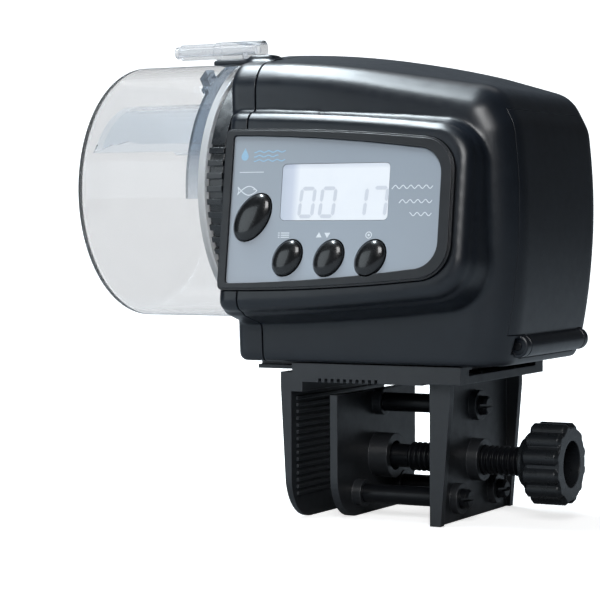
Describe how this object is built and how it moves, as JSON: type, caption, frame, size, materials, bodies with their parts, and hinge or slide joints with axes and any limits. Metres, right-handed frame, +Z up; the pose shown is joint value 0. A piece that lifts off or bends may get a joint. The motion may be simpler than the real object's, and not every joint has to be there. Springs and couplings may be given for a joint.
{
  "type": "automatic fish feeder",
  "caption": "Clip-on automatic fish feeder: a turning clear food drum on a battery-driven housing with a display panel, held by a screw clamp for a tank's rim.",
  "frame": {"origin": "on the underside of the clamp's channel, at the middle of its depth, 4 mm from the fixed jaw's grip face: the point that rests on a tank's rim", "axes": "+X from the food drum towards the clamp knob, +Y to the back, +Z up"},
  "size_m": [0.1304, 0.0815, 0.1265],
  "materials": {
    "clamp_black": "fine satin mould texture",
    "knob_black": "semi-gloss",
    "case_black": "satin",
    "button_black": "polished",
    "label_print": "printed film",
    "lcd_face": "clear over a pale display",
    "lcd_cell": "glass cell in a white frame",
    "pad_rubber": "moulded silicone",
    "board_green": "solder mask",
    "reed_body": "moulded",
    "gear_plastic": "natural acetal",
    "steel": "plated",
    "bronze": "sintered",
    "hub_black": "satin, ribbed rim",
    "drum_clear": "clear moulded plastic",
    "nozzle_clear": "clear moulded plastic",
    "slider_smoke": "smoke tinted clear plastic",
    "tray_black": "moulded",
    "cell_wrap": "printed wrap"
  },
  "bodies": {
    "clamp": {"clamp_frame": "clamp_black", "clamp_end_plate": "clamp_black"},
    "moving_jaw": {"moving_jaw_plate": "clamp_black", "guide_pins": "clamp_black"},
    "clamp_screw": {"clamp_screw": "clamp_black", "clamp_knob": "knob_black"},
    "feeder_body": {"slide_foot": "case_black", "foot_screws": "steel", "left_shell": "case_black", "main_shell": "case_black", "case_screws": "steel", "display_bezel": "case_black", "control_label": "label_print", "lcd_lens": "lcd_face", "lcd_module": "lcd_cell", "button_pad": "pad_rubber", "circuit_board": "board_green", "board_screws": "steel", "reed_switch": "reed_body", "gearbox_base": "gear_plastic", "gearbox_cover": "gear_plastic", "gear_axle": "steel", "motor": "steel", "hub_bushing": "bronze", "air_nozzle": "nozzle_clear", "battery_tray": "tray_black", "battery_cells": "cell_wrap", "battery_springs": "steel", "battery_contacts": "steel", "door_hinge_pin": "steel"},
    "feed_button": {"feed_button": "button_black"},
    "mode_button": {"mode_button": "button_black"},
    "adjust_button": {"adjust_button": "button_black"},
    "set_button": {"set_button": "button_black"},
    "motor_pinion": {"motor_pinion": "gear_plastic"},
    "compound_gear": {"compound_gear": "gear_plastic"},
    "drive_hub": {"drive_hub": "hub_black", "hub_shaft": "steel", "output_gear": "gear_plastic", "retaining_clip": "steel", "index_magnet": "steel"},
    "drum": {"drum_shell": "drum_clear", "drum_scoop": "drum_clear"},
    "feed_slider": {"feed_slider": "slider_smoke"},
    "battery_door": {"battery_door": "case_black"}
  },
  "joints": [
    {"name": "body_slide", "type": "slide", "parent": "clamp", "child": "feeder_body", "axis": [1, 0, 0], "range_m": [-0.01, 0.004]},
    {"name": "jaw_slide", "type": "slide", "parent": "clamp", "child": "moving_jaw", "axis": [1, 0, 0], "range_m": [-0.0048, 0.018]},
    {"name": "screw_turn", "type": "hinge", "parent": "moving_jaw", "child": "clamp_screw", "pos_m": [0, 0, -0.0213], "axis": [1, 0, 0], "range_deg": [-1153, 4321]},
    {"name": "drum_spin", "type": "hinge", "parent": "feeder_body", "child": "drive_hub", "pos_m": [0, 0, 0.05045], "axis": [1, 0, 0], "continuous": true},
    {"name": "compound_spin", "type": "hinge", "parent": "feeder_body", "child": "compound_gear", "pos_m": [0, 0.004, 0.02598], "axis": [1, 0, 0], "continuous": true},
    {"name": "pinion_spin", "type": "hinge", "parent": "feeder_body", "child": "motor_pinion", "pos_m": [0, -0.015, 0.03444], "axis": [1, 0, 0], "continuous": true},
    {"name": "drum_pull", "type": "slide", "parent": "drive_hub", "child": "drum", "axis": [-1, 0, 0], "range_m": [0, 0.03]},
    {"name": "slider_turn", "type": "hinge", "parent": "drum", "child": "feed_slider", "pos_m": [0, 0, 0.05045], "axis": [1, 0, 0], "range_deg": [-12, 20]},
    {"name": "door_swing", "type": "hinge", "parent": "feeder_body", "child": "battery_door", "pos_m": [0.0565, 0, 0.0102], "axis": [0, 1, 0], "range_deg": [0, 95]},
    {"name": "feed_press", "type": "slide", "parent": "feeder_body", "child": "feed_button", "axis": [0, 0.9903, -0.1392], "range_m": [0, 0.0008], "stiffness_N_per_m": 400},
    {"name": "mode_press", "type": "slide", "parent": "feeder_body", "child": "mode_button", "axis": [0, 0.9903, -0.1392], "range_m": [0, 0.0008], "stiffness_N_per_m": 400},
    {"name": "adjust_press", "type": "slide", "parent": "feeder_body", "child": "adjust_button", "axis": [0, 0.9903, -0.1392], "range_m": [0, 0.0008], "stiffness_N_per_m": 400},
    {"name": "set_press", "type": "slide", "parent": "feeder_body", "child": "set_button", "axis": [0, 0.9903, -0.1392], "range_m": [0, 0.0008], "stiffness_N_per_m": 400}
  ],
  "couplings": [
    {"joint": "screw_turn", "follows": "jaw_slide", "rad_per_m": 4188.8},
    {"joint": "compound_spin", "follows": "drum_spin", "ratio": -4.1667},
    {"joint": "pinion_spin", "follows": "drum_spin", "ratio": 13.889}
  ]
}
